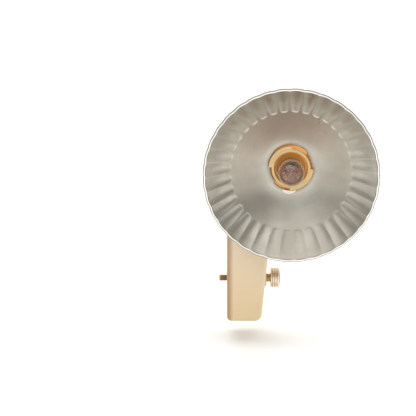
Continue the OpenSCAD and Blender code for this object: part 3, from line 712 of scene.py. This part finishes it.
def cover_piece():
    turn = [math.radians(t) for t in range(90, -1, -9)]
    seam = SEAM_F - 0.1
    rings = [(EDGE_R * (1 - math.cos(t)), BACK_F + EDGE_R * (1 - math.sin(t))) for t in turn]
    rings += [(0, seam - 0.35), (0.09, seam - 0.09), (0.3, seam)]
    piece = finish_object(slab(rings), "cover_moulding", CREAM)
    lip = WALL + 0.15
    fuse(piece, slab([(lip, seam - 2), (lip, SEAM_F + 1.7), (lip + 0.3, SEAM_F + 2)]))
    cut(piece, slab([(lip + 1.2, BACK_F + WALL), (lip + 1.2, SEAM_F + 3)]))
    fuse(piece, on_post(5, BACK_F + WALL - 0.5, BACK_F + 5.8, 0.3),
         drum(7.5, BACK_F + WALL - 0.5, BACK_F + WALL + 1.5, LAMP, 72, 0.3))
    # the button's hole, the plate's recess and the screw's stepped hole
    plate_low, plate_high = box_mm("exposure_plate")
    button = [(0, -1), (6.5, -1), (6.5, -0.4), (5.55, 0.5), (5.55, 5), (0, 5)]
    screw_hole = [(0, -1), (4.4, -1), (4.4, -0.4), (3.6, 0.4), (3.6, 2.2), (0, 2.2)]
    recess = block((plate_low[0] - 0.12, plate_low[1], plate_low[2] - 0.12),
                   (plate_high[0] + 0.12, plate_high[1] + 1, plate_high[2] + 0.12))
    cut(piece, lathe([(r, BACK_F + f) for r, f in button], LAMP, 96), recess,
        on_post(1.7, BACK_F - 1, BACK_F + 8))
    cut(piece, lathe([(r, BACK_F + f) for r, f in screw_hole], POST, 64))
    finish_edges(piece, 32)
    place(piece, "cover", "case_plastic", "cover")


# ---- Collar ----
def arc_solid(r0, r1, f0, f1, start, end, edge):
    """A ring sector with rounded edges and slightly shrunk ends, about the lamp's axis."""
    mid = (f0 + f1) / 2
    section = rounded([(r0, mid), (r0, f1), (r1, f1), (r1, f0), (r0, f0), (r0, mid)], edge, 4)
    steps = 48
    rows = []
    for k in range(steps + 1):
        shrink = 0 if 0 < k < steps else edge * 0.5
        t = math.radians(start + (end - start) * k / steps)
        row = []
        for r, f in section[:-1]:
            radius = r + shrink * np.sign((r0 + r1) / 2 - r)
            row.append((radius * math.cos(t), radius * math.sin(t), f + shrink * np.sign(mid - f)))
        rows.append(row)
    return grid(rows, LAMP, caps=True)


COLLAR_R = 12.5
COLLAR_BORE_R = 9.2
COLLAR_NECK_R = 12.2
COLLAR_MOUTH_R = 10.9
FLANGE_R = 16.6
LUG_R = 14.4
LUG_SWEEP = 90


def collar_piece():
    """The collar from its neck in the case, over its flange, to its funnel mouth, with two bayonet lugs."""
    profile = rounded([
        (COLLAR_BORE_R, 14), (COLLAR_BORE_R, 11), (COLLAR_NECK_R, 11), (COLLAR_NECK_R, 18), (FLANGE_R, 18),
        (FLANGE_R, 19.8), (COLLAR_R, 19.8), (COLLAR_R, 23.9), (COLLAR_MOUTH_R, 23.9), (10.2, 18.5),
        (COLLAR_BORE_R, 18.5), (COLLAR_BORE_R, 14)],
        [0, 0.3, 0.3, 0.1, 0.3, 0.3, 0.25, 0.55, 0.35, 0.15, 0.12])
    piece = finish_object(lathe(profile[:-1], LAMP, 192, closed=True), "collar_moulding", COLLAR)
    for start in (87, 267):
        fuse(piece, arc_solid(11.6, LUG_R, 21.2, 23.3, start, start + LUG_SWEEP, 0.35))
    # the groove that the reflector's stop travels in
    cut(piece, arc_solid(14.6, 17.6, 17, 22, STOP_MID - 16.4, STOP_MID + 59.4, 0.1))
    finish_edges(piece, 35)
    place(piece, "case", "collar_plastic", "lamp_collar")


# ---- Thumb screw ----
PITCH = 25.4 / 32
ROD_SIDES = 48
TIP_R = 2.1
SHANK_R = 2.65


def thread_rows(r, x0, x1, depth, per_turn=12):
    """Rows of a helical thread along the local axis, whose crests have radius r."""
    n = math.ceil((x1 - x0) / PITCH * per_turn)
    rows = []
    for i in range(n + 1):
        x = x0 + (x1 - x0) * i / n
        fade = min(1, (x - x0) / 0.5, (x1 - x) / 0.5)
        row = []
        for k in range(ROD_SIDES):
            t = 2 * math.pi * k / ROD_SIDES
            phase = (x / PITCH - k / ROD_SIDES) % 1
            valley = depth * max(0.0, fade) * smoothstep(1 - abs(2 * phase - 1) * 1.15)
            row.append(((r - valley) * math.cos(t), (r - valley) * math.sin(t), x))
        rows.append(row)
    return rows


def circle_row(r, x):
    turn = [2 * math.pi * k / ROD_SIDES for k in range(ROD_SIDES)]
    return [(r * math.cos(t), r * math.sin(t), x) for t in turn]


def screw_piece():
    tip = box_mm("screw_rod")[0][0]
    rows = [circle_row(1.2, tip), circle_row(1.6, tip + 0.02), circle_row(1.95, tip + 0.3)]
    rows += thread_rows(TIP_R, tip + 0.4, -0.05, 0.36)
    # a thinner front, a groove for the retaining ring and the shank's end inside the knob
    steps = [(TIP_R, 0), (2.3, 0.02), (2.3, 9.98), (2.6, 10), (SHANK_R, 10.05), (SHANK_R, 15.7),
             (2.05, 15.75), (2.05, 16.95), (SHANK_R, 17.0), (SHANK_R, 29.8), (0.6, 29.9)]
    rows += [circle_row(r, x) for r, x in steps]
    piece = finish_object(grid(rows, SCREW, caps=True), "thumb_screw_shank", SHANK, 40)
    place(piece, "thumb_screw", "nickel", "screw_rod")


def knob_finish(end):
    """Worn nickel whose domed end is browner, like its grooves."""
    n = Surface("worn_nickel")
    worn = n.mix(n.span(n.noise(70, 6), 0, 1, 0.38, 0.68), rgb(252, 236, 216), rgb(236, 216, 180))
    groove = n.span(n.crevice(0.0012), 0.9, 0, 0.25, 0.9)
    worn = n.mix(groove, worn, rgb(136, 106, 62))
    dome = n.span(n.axis("X"), 0, 0.85, (end - 1.4) * MM, (end - 0.7) * MM)
    lines = n.noise(60, 4, stretch=(40, 1, 1))
    n.put(Base_Color=n.mix(dome, worn, rgb(158, 128, 90)), Roughness=n.span(lines, 0.3, 0.44, 0.35, 0.65),
          Normal=n.bump(lines, 0.05, 0.00005))
    n.put(Metallic=1.0)
    return n.material


def knob_piece():
    low, high = box_mm("screw_knob")
    r = (high[1] - low[1]) / 2
    x0 = low[0]
    length = 5.6
    points = [(2.66, x0 + 3), (2.66, x0 + 0.4), (3.1, x0), (r - 0.5, x0), (r, x0 + 0.5)]
    radii = [0, 0.15, 0.2, 0.3, 0.3]
    for i in (1, 2, 3):  # grooves
        x = x0 + i * length / 4
        points += [(r, x - 0.34), (r - 0.42, x - 0.14), (r - 0.42, x + 0.14), (r, x + 0.34)]
        radii += [0.14, 0.1, 0.1, 0.14]
    end = x0 + length
    points += [(r, end - 0.5), (r - 0.7, end), (r - 1.5, end + 0.25), (2.2, end + 0.78), (0, end + 0.86)]
    radii += [0.35, 0.3, 0.4, 1.5]
    profile = [(0, x0 + 3)] + rounded(points, radii, 4)
    piece = finish_object(lathe(profile, SCREW, 96), "thumb_screw_knob", knob_finish(high[0]), 50)
    place(piece, "thumb_screw", "knob_metal", "screw_knob")


# ---- Ejector ----
def button_piece():
    low, high = box_mm("ejector_button")
    f0, f1 = -high[1], -low[1]
    profile = rounded([(0, f0 + 0.35), (3.2, f0 + 0.12), (4.3, f0), (5.5, f0), (5.5, f1 - 1), (7, f1 - 1),
                       (7, f1), (0, f1)], [0, 2.0, 0.5, 0.8, 0.25, 0.3, 0.3], 6)
    piece = finish_object(lathe(profile, LAMP, 96), "ejector_cap", BUTTON, 40)
    place(piece, "ejector", "case_plastic", "ejector_button")


def coil_piece():
    f0, f1 = -12.65, 1.55
    turns = 7.5
    wire_r = 0.25
    coil_r = 2.2
    steps = int(turns * 28)
    points = []
    for i in range(steps + 1):
        t = i / steps
        # the end turns lie close together, as on a ground compression spring
        even = t + 0.055 * math.sin(2 * math.pi * t) - 0.02 * math.sin(4 * math.pi * t)
        angle = 2 * math.pi * turns * t
        f = f0 + wire_r + (f1 - f0 - 2 * wire_r) * (1 - even)
        points.append((coil_r * math.cos(angle), coil_r * math.sin(angle), f))
    piece = finish_object(sweep(points, wire_r, LAMP, 10), "return_coil", SPRING, 60)
    place(piece, "case", "spring_steel", "ejector_spring")
    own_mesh(piece)
    return piece


# ---- Bulb ----
BULB_R = 8.5
NECK_F = 19
BELLY_F = 28
DOME_F = 37
BULB_NECK_R = 4.9
BASE_F = 8
BEAD_F = 25


def envelope(inset):
    """The glass from its shoulder to the top of its dome, set in by a distance."""
    rows = []
    for i in range(17):
        k = i / 16
        rows.append((BULB_NECK_R - inset + (BULB_R - BULB_NECK_R) * smoothstep(k),
                     NECK_F + inset + (BELLY_F - NECK_F) * k))
    for q in range(0, 88, 6):
        t = math.radians(q)
        rows.append(((BULB_R - inset) * math.cos(t), DOME_F + (BULB_R - inset) * math.sin(t)))
    rows.append((0, DOME_F + BULB_R - inset))
    return rows


def glass_material():
    """Lacquered glass that is browner where it is seen edge on."""
    n = Surface("lacquered_glass")
    lacquer = n.noise(160, 4)
    clear = n.mix(n.span(lacquer, 0, 1, 0.35, 0.65), rgb(238, 218, 204), rgb(226, 202, 184))
    facing = n.add("ShaderNodeLayerWeight", Blend=0.5).outputs["Facing"]
    n.put(Base_Color=n.mix(n.span(facing, 0, 1, 0.55, 0.95), clear, rgb(158, 122, 108)),
          Roughness=n.span(n.noise(500, 3), 0.02, 0.09, 0.4, 0.7),
          Normal=n.bump(n.noise(70, 2), 0.12, 0.0003))
    n.put(Transmission_Weight=1.0, IOR=1.3, Coat_Weight=1.0, Coat_Roughness=0.03)
    return n.material


def glass_piece():
    """A hollow envelope on a flat glass base."""
    outer = lathe([(0, NECK_F - 0.02)] + envelope(0), LAMP, 96)
    inner = lathe([(0, NECK_F + 1.2)] + envelope(0.55), LAMP, 96)
    inner.flip_normals()
    base = block((-2.5, -4.5, BASE_F), (2.5, 4.5, NECK_F + 0.6), LAMP)
    piece = finish_object(joined([outer, inner, base], "glass"), "bulb_envelope", glass_material(), 60)
    place(piece, "bulb", "bulb_glass", "bulb_glass")


def foil_piece():
    """Shredded foil: narrow ribbons that wander through the envelope."""
    draw = random.Random(11)
    verts, faces = [], []
    for _ in range(46):
        p = np.array([draw.uniform(-4, 4), draw.uniform(-4, 4), draw.uniform(31, 41)])
        d = np.array([draw.gauss(0, 1) for _ in range(3)])
        width = draw.uniform(0.16, 0.34)
        side = np.array([draw.gauss(0, 1) for _ in range(3)])
        start = len(verts)
        count = draw.randint(9, 17)
        for i in range(count):
            d = d / np.linalg.norm(d)
            side = side - d * (side @ d)
            side = side / np.linalg.norm(side)
            up = np.cross(d, side)
            for s, u in ((-1, -1), (1, -1), (1, 1), (-1, 1)):
                verts.append(p + side * s * width + up * u * 0.02)
            p = p + d * 0.75
            d = d + 0.55 * np.array([draw.gauss(0, 1) for _ in range(3)])
            side = side + 0.5 * np.array([draw.gauss(0, 1) for _ in range(3)])
            # the tangle leaves a clear way to the bead in its middle
            core = p[:2] - np.array([0, 1.6])
            if np.linalg.norm(core) < 2.3:
                p[:2] += core / (np.linalg.norm(core) + 1e-6) * (2.3 - np.linalg.norm(core)) * 0.8
            centre = np.array([0, 0, 36.3])
            away = (p - centre) / np.array([6.6, 6.6, 6.9])
            reach = np.linalg.norm(away)
            if reach > 0.86:
                d = d - 1.3 * (away / reach) * (reach ** 2)
                p = centre + (p - centre) * min(1, 0.98 / reach)
        for i in range(count - 1):
            for k in range(4):
                faces.append([start + 4 * i + k, start + 4 * i + (k + 1) % 4,
                              start + 4 * i + 4 + (k + 1) % 4, start + 4 * i + 4 + k])
        faces.append([start + 3, start + 2, start + 1, start])
        faces.append([start + 4 * count - 4 + k for k in range(4)])
    piece = finish_object(mesh_of(verts, faces, LAMP), "foil_tangle", FOIL, 50)
    place(piece, "bulb", "bulb_foil", "bulb_foil")


def leads_piece():
    """Two wires up through the base, with the contact pads folded over its sides."""
    parts = []
    for s in (-1, 1):
        lead = [(s * 1.9, 0, BASE_F - 0.1), (s * 1.9, 0, 19), (s * 1.9, 0, 26), (s * 1.7, 0.1, 28.4),
                (s * 1.2, 0.3, 30)]
        parts.append(sweep(lead, 0.24, LAMP, 12))
        pad = [(1.5, -0.1), (2.3, -0.1), (2.6, 0.3), (2.6, 6)]
        strip = rounded([(s * x, BASE_F + f) for x, f in pad], 0.4, 3)
        rows = []
        for i, q in enumerate(strip):
            d = np.array(strip[min(i + 1, len(strip) - 1)]) - np.array(strip[max(i - 1, 0)])
            d = d / np.linalg.norm(d)
            n = np.array([-d[1], d[0]]) * 0.09
            rows.append([(q[0] + n[0], -0.6, q[1] + n[1]), (q[0] + n[0], 0.6, q[1] + n[1]),
                         (q[0] - n[0], 0.6, q[1] - n[1]), (q[0] - n[0], -0.6, q[1] - n[1])])
        parts.append(grid(rows, LAMP, caps=True))
    place(finish_object(joined(parts, "leads"), "lead_wires", NICKEL, 40), "bulb", "nickel", "bulb_leads")


def bead_piece():
    """The glass bead that carries the wires, lying across the bulb."""
    bead = rounded([(0, -2.8), (0.7, -2.8), (1.05, -2.2), (0.95, 0), (1.05, 2.2), (0.7, 2.8), (0, 2.8)], 0.5)
    across = LAMP @ Matrix.Translation((0, 0, BEAD_F)) @ Matrix.Rotation(math.pi / 2, 4, "Y")
    place(finish_object(lathe(bead, across, 32), "support_bead", BEAD, 60),
          "bulb", "bead_glass", "bulb_bead")


# ---- Circuit ----
def battery_card():
    """A printed card sleeve: a red field between two pale lines and two dark bands."""
    n = Surface("battery_sleeve")
    low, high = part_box("battery")
    t = n.span(n.axis("Z"), 0, 1, low[2], high[2])
    band, line = rgb(40, 38, 44), rgb(214, 196, 140)
    card = n.ramp(t, [(0.0, band), (0.14, band), (0.15, line), (0.19, line), (0.2, rgb(150, 34, 28)),
                      (0.8, rgb(158, 40, 30)), (0.81, line), (0.85, line), (0.86, band)])
    rubbed = n.span(n.noise(120, 6), 0, 0.5, 0.58, 0.72)
    n.put(Base_Color=n.mix(rubbed, card, rgb(188, 160, 120)),
          Roughness=n.span(n.noise(300, 4), 0.42, 0.6, 0.35, 0.65),
          Normal=n.bump(n.noise(900, 4), 0.2, 0.00005))
    return n.material


def capacitor_piece():
    low, high = box_mm("capacitor")
    r = (high[0] - low[0]) / 2
    at = facing((low[0] + high[0]) / 2, (low[2] + high[2]) / 2)
    f0, f1 = -high[1], -low[1]
    profile = rounded([(0, f0), (r - 1.2, f0), (r - 0.6, f0 + 0.02), (r, f0 + 0.7), (r, f0 + 2.4),
                       (r - 0.7, f0 + 3.1), (r, f0 + 3.8), (r, f1), (r - 2.2, f1), (r - 2.6, f1 - 0.25),
                       (0, f1 - 0.25)], [0, 0.2, 0.4, 0.4, 0.4, 0.4, 0.4, 0.7, 0.2, 0.2])
    can = metal("capacitor_can", rgb(196, 198, 200), rgb(158, 160, 162), (0.24, 0.4), (1, 1, 1), 300)
    piece = finish_object(lathe(profile, at, 96), "capacitor_case", can, 40)
    place(piece, "case", "capacitor_can", "capacitor")


def resistor_piece():
    low, high = box_mm("resistor")
    x, y = (low[0] + high[0]) / 2, (low[1] + high[1]) / 2
    cap = [(0, 0), (1.5, 0), (2.3, 0.8), (2.3, 2.4), (1.95, 3)]
    profile = rounded([(r, low[2] + z) for r, z in cap] + [(r, high[2] - z) for r, z in reversed(cap)], 0.5)
    n = Surface("resistor_body")
    t = n.span(n.axis("Z"), 0, 1, low[2] * MM, high[2] * MM)
    body = rgb(196, 158, 108)
    stops = [(0.0, body)]
    for start, color in [(0.14, rgb(60, 36, 22)), (0.34, rgb(20, 20, 20)), (0.5, rgb(200, 110, 30)),
                         (0.78, rgb(186, 150, 60))]:
        stops += [(start, color), (start + 0.08, body)]
    bands = n.ramp(t, stops)
    bands.node.color_ramp.interpolation = "CONSTANT"
    n.put(Base_Color=n.mix(n.span(n.noise(700, 4), 0, 0.3, 0.5, 0.7), bands, rgb(150, 112, 70)),
          Roughness=n.span(n.noise(500, 3), 0.3, 0.45, 0.35, 0.65),
          Normal=n.bump(n.noise(600, 3), 0.1, 0.00005))
    at = Matrix.Scale(MM, 4) @ Matrix.Translation((x, y, 0))
    piece = finish_object(lathe(profile, at, 48), "resistor_body", n.material, 50)
    place(piece, "case", "resistor_body", "resistor")


def plate_finish():
    """Brushed aluminium with dull spots."""
    n = Surface("plate_metal")
    spots = n.noise(260, 5)
    brushed = n.noise(240, 4, stretch=(1, 1, 30))
    n.put(Base_Color=n.mix(n.span(spots, 0, 1, 0.38, 0.7), rgb(206, 204, 198), rgb(178, 172, 160)),
          Roughness=n.span(brushed, 0.3, 0.48, 0.35, 0.65), Normal=n.bump(brushed, 0.12, 0.00004))
    n.put(Metallic=0.85)
    return n.material


def exposure_plate_pieces():
    """A thin metal plate with two pins and a raised table of ruled rows, bars and dots."""
    low, high = box_mm("exposure_plate")
    plate = finish_object(block(low, (high[0], high[1] - 0.08, high[2])), "plate_sheet", plate_finish())
    bevel(plate, 0.12)
    finish_edges(plate, 35)
    place(plate, "cover", "plate_metal", "exposure_plate")

    x0, x1, z0, z1 = low[0] + 1, high[0] - 1, low[2] + 4, high[2] - 4
    bottom = high[1] - 0.12
    top = bottom + 0.07
    line = 0.12  # half of a ruled line's width
    rows = 9

    def bar(xa, za, xb, zb):
        return block((xa, bottom, za), (xb, top, zb))

    def dot(x, z, r):
        return drum(r, -top, -bottom, facing(x, z), 24)

    marks = []
    for k in range(rows + 1):
        z = z0 + (z1 - z0) * k / rows
        marks.append(bar(x0, z - line, x1, z + line))
    marks += [bar(x - line, z0, x + line, z1) for x in (x0, x0 + 5.2, x0 + 10.2, x1)]
    for k in range(rows):
        z = z0 + (z1 - z0) * (k + 0.5) / rows
        marks += [bar(x0 + 1.2, z - 0.55, x0 + 1.2 + 0.32 * (k + 1), z + 0.55),
                  dot(x0 + 7.7, z, 0.25 + 0.12 * k), dot(x0 + 12.6, z, 1.35 - 0.12 * k)]
    ink = simple("plate_ink", rgb(44, 42, 40), rgb(26, 25, 24), 0.5, scale=600, bump=0.1)
    place(finish_object(joined(marks, "ruling"), "plate_ruling", ink), "cover", "plate_metal")

    f = -high[1]
    pin = rounded([(0, f + 0.01), (0.7, f + 0.01), (1.0, f + 0.14), (0, f + 0.2)], 0.1, 3)
    for index, z in enumerate((low[2] + 2, high[2] - 2)):
        at = facing((low[0] + high[0]) / 2, z)
        place(finish_object(lathe(pin, at, 32), "plate_pin_%d" % index, NICKEL, 50), "cover", "nickel")


def cover_screw_piece():
    low, high = box_mm("cover_screw")
    r = (high[0] - low[0]) / 2
    f0, f1 = -high[1], -low[1]
    head = rounded([(0, f0), (2.4, f0 + 0.05), (r, f0 + 0.5), (r, f0 + 1.85), (1.4, f0 + 1.85)],
                   [0, 1.2, 0.3, 0.15])
    rows = [circle_row(max(radius, 0.02), f) for radius, f in head]
    rows += [circle_row(1.4, f0 + 3.2)]
    rows += thread_rows(1.4, f0 + 3.4, f1 - 0.4, 0.25, per_turn=10)
    rows += [circle_row(1.1, f1 - 0.1), circle_row(0.7, f1)]
    piece = finish_object(grid(rows, POST, caps=True), "cover_screw_slotted", NICKEL, 40)
    cut(piece, block((-r - 1, -0.5, f0 - 1), (r + 1, 0.5, f0 + 0.95), POST))
    shade(piece, 40)
    place(piece, "cover_screw", "nickel", "cover_screw")


# ---- Everything ----
for make in (reflector_piece, case_piece, cover_piece, collar_piece, screw_piece, knob_piece, button_piece,
             coil_piece, glass_piece, foil_piece, leads_piece, bead_piece, capacitor_piece, resistor_piece,
             exposure_plate_pieces, cover_screw_piece):
    make()

# CAD nodes that only need their edges broken, by body: node, material, bevel and slot
SOFTENED = {
    "case": [
        ("collar_nut", BRASS, 0.2, "brass"), ("reflector_spring", SPRING, 0.08, "spring_steel"),
        ("socket_block", PHENOLIC, 0.2, "phenolic"), ("socket_clip_left", BRASS, 0.06, "brass"),
        ("socket_clip_right", BRASS, 0.06, "brass"), ("screw_bush", BRASS, 0.15, "brass"),
        ("pin_socket", BRASS, 0.15, "brass"), ("battery", battery_card(), 0.4, "battery_card"),
        ("battery_terminals", NICKEL, 0.15, "nickel"), ("battery_spring", BRASS, 0.08, "brass"),
        ("battery_contact", BRASS, 0.15, "brass"), ("capacitor_seal", RUBBER, 0.2, "seal_rubber"),
        ("cover_insert", BRASS, 0.12, "brass")],
    "cover": [("battery_pad", FOAM, 0.5, "foam")],
    "reflector": [("reflector_stop", IVORY, 0.14, "ivory_plastic")],
    "ejector": [("ejector_rod", NICKEL, 0.2, "nickel")],
    "retainer": [("screw_retainer", SPRING, 0.12, "spring_steel")]}
for body, rows in SOFTENED.items():
    for node, material, width, slot in rows:
        place(softened(node, material, width), body, slot, node)

for node, color in [("wire_charge", "red"), ("wire_lamp", "black"), ("wire_pin", "yellow"),
                    ("wire_screw", "green")]:
    place(round_wire(node, INSULATION[color]), "case", "wire_" + color, node)


# ---- Floor, light and camera ----
def studio_floor():
    n = Surface("studio_floor")
    cloud = n.span(n.noise(6, 3), 0, 1, 0.3, 0.7)
    n.put(Base_Color=n.mix(cloud, (0.86, 0.86, 0.855, 1), (0.84, 0.84, 0.835, 1)),
          Roughness=n.span(n.noise(30, 3), 0.5, 0.6, 0.3, 0.7))
    size = 6000
    z = shell_low[2] - 13.2  # below the gun, which hangs on the camera's side
    corners = [(-size, -size, z), (size, -size, z), (size, size, z), (-size, size, z)]
    finish_object(mesh_of(corners, [(0, 1, 2, 3)], WORLD), "floor", n.material)


def area_light(name, location, size, power):
    """A soft light that points at the case and doesn't show in reflections."""
    data = bpy.data.lights.new(name, "AREA")
    data.shape = "RECTANGLE"
    data.size, data.size_y = size
    data.energy = power
    lamp = bpy.data.objects.new(name, data)
    lamp.visible_glossy = False
    lamp.location = location
    aim = Vector((0.04, 0, 0.05))
    lamp.rotation_euler = (aim - Vector(location)).to_track_quat("-Z", "Y").to_euler()
    bpy.context.scene.collection.objects.link(lamp)


def world_light():
    """A grey room, white behind the gun and along the horizon, bright overhead and around the lens."""
    world = bpy.data.worlds.new("studio")
    bpy.context.scene.world = world
    world.use_nodes = True
    world.node_tree.nodes.clear()
    n = Nodes(world.node_tree)
    sky = n.add("ShaderNodeTexCoord").outputs["Generated"]

    level = 0.40
    # direction of each lobe, the angles at which it is full and gone, and what it adds
    for direction, full, gone, gain in [
            ((0, 1, 0), 30, 100, 0.55), ((0, -1, 0.12), 10, 28, 0.6), ((0, -0.1, 1), 12, 64, 0.92),
            ((0.6, -0.7, 0.45), 8, 34, -0.04), ((-0.6, -0.7, 0.45), 8, 36, 0.2)]:
        aim = Vector(direction).normalized()
        toward = n.add("ShaderNodeVectorMath", operation="DOT_PRODUCT", i0=sky, i1=aim).outputs["Value"]
        start, end = math.cos(math.radians(gone)), math.cos(math.radians(full))
        lobe = n.span(toward, 0, 1, start, end, "SMOOTHSTEP")
        level = n.math("ADD", n.math("MULTIPLY", lobe, gain), level)
    height = n.add("ShaderNodeSeparateXYZ", Vector=sky).outputs["Z"]
    level = n.math("MAXIMUM", level, n.span(height, 0, 1, 0.26, 0.14, "SMOOTHSTEP"))
    back = n.add("ShaderNodeBackground", Strength=level, Color=(1.0, 0.99, 0.965, 1))
    n.add("ShaderNodeOutputWorld", Surface=back.outputs[0])


def camera():
    """A long lens that looks down on the gun a little, with the gun right of the middle as in the photo."""
    data = bpy.data.cameras.new("camera")
    pitch = math.radians(13)
    distance = 3200
    target = Vector((LAMP_X - 53.3, -RIM_F, LAMP_Z - 21)) * MM
    data.sensor_width = 36
    data.lens = 433.4
    data.clip_start = 0.05
    data.clip_end = 60
    view = bpy.data.objects.new("camera", data)
    view.location = target + Vector((0, -math.cos(pitch), math.sin(pitch))) * distance * MM
    view.rotation_euler = (math.pi / 2 - pitch, 0, 0)
    bpy.context.scene.collection.objects.link(view)
    bpy.context.scene.camera = view


studio_floor()
world_light()
area_light("overhead", (0.1, 0.1, 1.3), (1.4, 1.4), 11)
area_light("front", (-0.3, -1.6, 0.9), (1.2, 1.0), 5.5)
area_light("right", (1.4, -0.4, 0.45), (0.9, 1.2), 5)
camera()
bpy.context.scene.view_settings.view_transform = "Standard"
